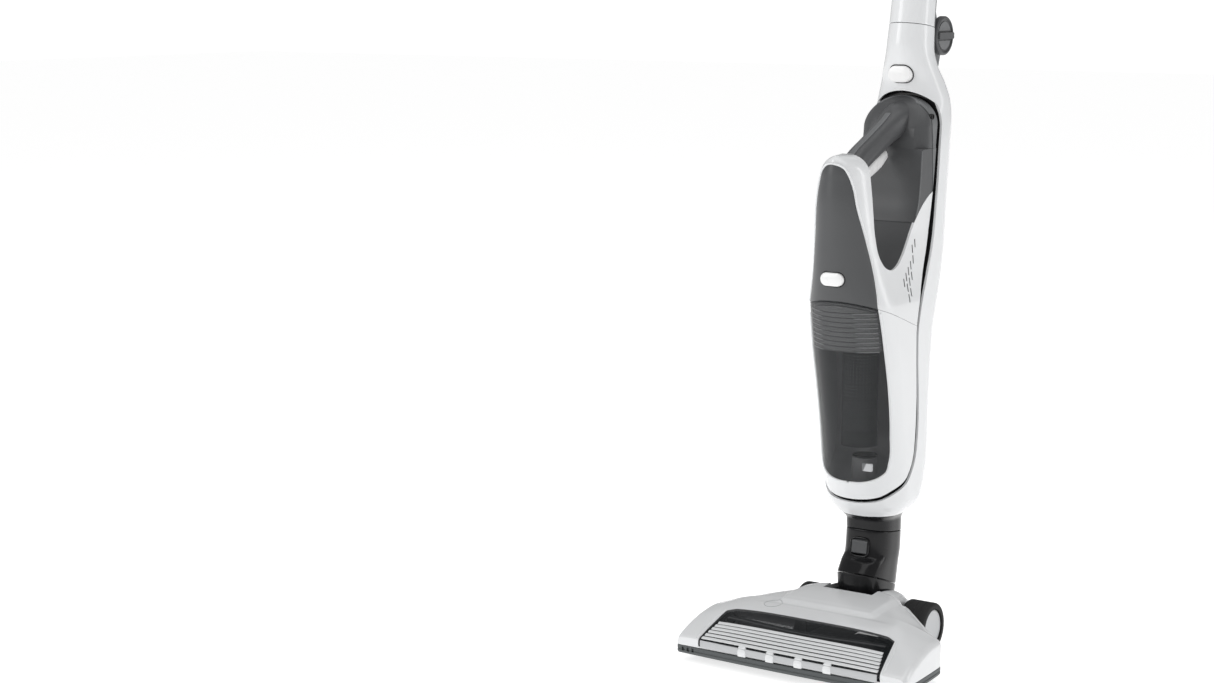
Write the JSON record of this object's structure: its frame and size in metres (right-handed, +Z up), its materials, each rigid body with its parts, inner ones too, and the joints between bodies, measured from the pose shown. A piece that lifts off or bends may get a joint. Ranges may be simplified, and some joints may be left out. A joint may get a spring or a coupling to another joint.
{
  "type": "cordless stick vacuum",
  "caption": "Upright cordless stick vacuum: powered floor head, tilting and swivelling neck, frame with a folding handle, and a lift-out hand unit with a clear dust bin.",
  "frame": {"origin": "on the floor, at the middle of the footprint of the parked machine", "axes": "+Z up, -Y towards the front of the floor head, +X to the right seen from the front"},
  "size_m": [0.263, 0.348, 1.1],
  "materials": {
    "white": "glossy moulded ABS",
    "button_white": "glossy bright white",
    "dark_cover": "satin dark grey",
    "gloss_black": "high gloss black",
    "base_grey": "fine grained dark grey",
    "mid_grey": "satin mid grey",
    "light_grey": "satin light grey",
    "smoked_clear": "clear smoked polycarbonate",
    "black_rubber": "matt rubber",
    "bristle": "nylon bristle and felt strips",
    "steel": "turned steel",
    "circuit_board": "solder mask",
    "filter_paper": "pleated filter media",
    "battery": "sleeved cells"
  },
  "bodies": {
    "floor_head": {"nozzle_base": "base_grey", "nozzle_cover": "white", "nozzle_window": "smoked_clear", "front_guard": "light_grey", "brush_motor": "steel", "nozzle_duct": "mid_grey", "brush_end_cap_left": "mid_grey", "brush_end_cap_right": "mid_grey", "drive_belt": "black_rubber", "roller_pin_left": "steel", "roller_pin_right": "steel", "wheel_axle_left": "steel", "wheel_axle_right": "steel"},
    "brush": {"brush_roller": "bristle", "brush_pulley": "mid_grey"},
    "motor_pulley": {"motor_pulley": "mid_grey"},
    "wheel_left": {"tyre_left": "black_rubber", "hub_left": "light_grey"},
    "wheel_right": {"tyre_right": "black_rubber", "hub_right": "light_grey"},
    "roller_left": {"support_roller_left": "mid_grey"},
    "roller_right": {"support_roller_right": "mid_grey"},
    "neck_yoke": {"neck_yoke": "gloss_black"},
    "neck_swivel": {"neck_swivel": "gloss_black"},
    "neck_button": {"neck_release_button": "gloss_black"},
    "frame": {"frame_shell": "white", "frame_rear_cover": "mid_grey", "cradle_liner": "gloss_black", "frame_duct": "mid_grey", "frame_collar": "base_grey", "hinge_bracket": "mid_grey", "hinge_pin": "steel"},
    "hand_release": {"hand_release_button": "button_white"},
    "handle": {"handle_front_shell": "white", "handle_rear_shell": "mid_grey", "handle_knuckle": "mid_grey", "handle_grip": "dark_cover", "handle_end_cap": "mid_grey"},
    "knob": {"fold_knob": "mid_grey"},
    "hand_unit": {"hand_shell": "white", "front_cover": "dark_cover", "hand_housing": "dark_cover", "charging_socket": "gloss_black", "battery_pack": "battery", "battery_cover": "dark_cover", "circuit_board": "circuit_board", "suction_motor": "steel", "intake_plate": "mid_grey"},
    "impeller": {"impeller": "mid_grey"},
    "bin_release": {"bin_release_button": "button_white"},
    "trigger": {"trigger": "button_white"},
    "bin": {"bin_shell": "white", "bin_window": "smoked_clear", "filter_frame": "light_grey", "bin_catch": "light_grey"},
    "filter": {"filter_cage": "mid_grey", "pleated_filter": "filter_paper"},
    "inlet_flap": {"inlet_flap": "black_rubber"}
  },
  "joints": [
    {"name": "brush_spin", "type": "hinge", "parent": "floor_head", "child": "brush", "pos_m": [0, -0.141, 0.0166], "axis": [1, 0, 0], "continuous": true},
    {"name": "motor_pulley_spin", "type": "hinge", "parent": "floor_head", "child": "motor_pulley", "pos_m": [-0.11, -0.098, 0.031], "axis": [1, 0, 0], "continuous": true},
    {"name": "wheel_left_spin", "type": "hinge", "parent": "floor_head", "child": "wheel_left", "pos_m": [-0.062, -0.0005, 0.0268], "axis": [1, 0, 0], "continuous": true},
    {"name": "wheel_right_spin", "type": "hinge", "parent": "floor_head", "child": "wheel_right", "pos_m": [0.062, -0.0005, 0.0268], "axis": [1, 0, 0], "continuous": true},
    {"name": "roller_left_spin", "type": "hinge", "parent": "floor_head", "child": "roller_left", "pos_m": [-0.092, -0.098, 0.008], "axis": [1, 0, 0], "continuous": true},
    {"name": "roller_right_spin", "type": "hinge", "parent": "floor_head", "child": "roller_right", "pos_m": [0.092, -0.098, 0.008], "axis": [1, 0, 0], "continuous": true},
    {"name": "neck_tilt", "type": "hinge", "parent": "floor_head", "child": "neck_yoke", "pos_m": [0, -0.002, 0.032], "axis": [-1, 0, 0], "range_deg": [0, 70]},
    {"name": "neck_swivel_turn", "type": "hinge", "parent": "neck_yoke", "child": "neck_swivel", "pos_m": [0, -0.004, 0.0705], "axis": [0, 0.3387, 0.9409], "range_deg": [-65, 65]},
    {"name": "neck_button_press", "type": "slide", "parent": "neck_swivel", "child": "neck_button", "axis": [0, 1, 0], "range_m": [0, 0.0025], "stiffness_N_per_m": 400, "springref_m": -0.002},
    {"name": "frame_lift", "type": "slide", "parent": "neck_swivel", "child": "frame", "axis": [0, 0, 1], "range_m": [0, 0.03]},
    {"name": "hand_release_press", "type": "slide", "parent": "frame", "child": "hand_release", "axis": [0, 1, 0], "range_m": [0, 0.0025], "stiffness_N_per_m": 400, "springref_m": -0.002},
    {"name": "handle_fold", "type": "hinge", "parent": "frame", "child": "handle", "pos_m": [0, 0.1155, 0.634], "axis": [-1, 0, 0], "range_deg": [0, 165]},
    {"name": "knob_turn", "type": "hinge", "parent": "frame", "child": "knob", "pos_m": [0.014, 0.1155, 0.634], "axis": [1, 0, 0], "range_deg": [0, 90]},
    {"name": "hand_unit_out", "type": "slide", "parent": "frame", "child": "hand_unit", "axis": [0, -1, 0], "range_m": [0, 0.1]},
    {"name": "impeller_spin", "type": "hinge", "parent": "hand_unit", "child": "impeller", "pos_m": [0, -0.031, 0.37], "axis": [0, 0, 1], "continuous": true},
    {"name": "bin_release_press", "type": "slide", "parent": "hand_unit", "child": "bin_release", "axis": [0, 1, 0], "range_m": [0, 0.0025], "stiffness_N_per_m": 400, "springref_m": -0.002},
    {"name": "trigger_pull", "type": "hinge", "parent": "hand_unit", "child": "trigger", "pos_m": [0, -0.05, 0.479], "axis": [1, 0, 0], "range_deg": [0, 2.5], "stiffness_Nm_per_rad": 0.4, "springref_deg": -5.73},
    {"name": "bin_out", "type": "slide", "parent": "hand_unit", "child": "bin", "axis": [0, -1, 0], "range_m": [0, 0.08]},
    {"name": "filter_twist", "type": "hinge", "parent": "bin", "child": "filter", "pos_m": [0, -0.027, 0.28], "axis": [0, 0, 1], "range_deg": [0, 40]},
    {"name": "inlet_flap_swing", "type": "hinge", "parent": "bin", "child": "inlet_flap", "pos_m": [0, -0.001, 0.2046], "axis": [-1, 0, 0], "range_deg": [0, 25]}
  ],
  "couplings": [
    {"joint": "motor_pulley_spin", "follows": "brush_spin", "ratio": 1.8}
  ]
}
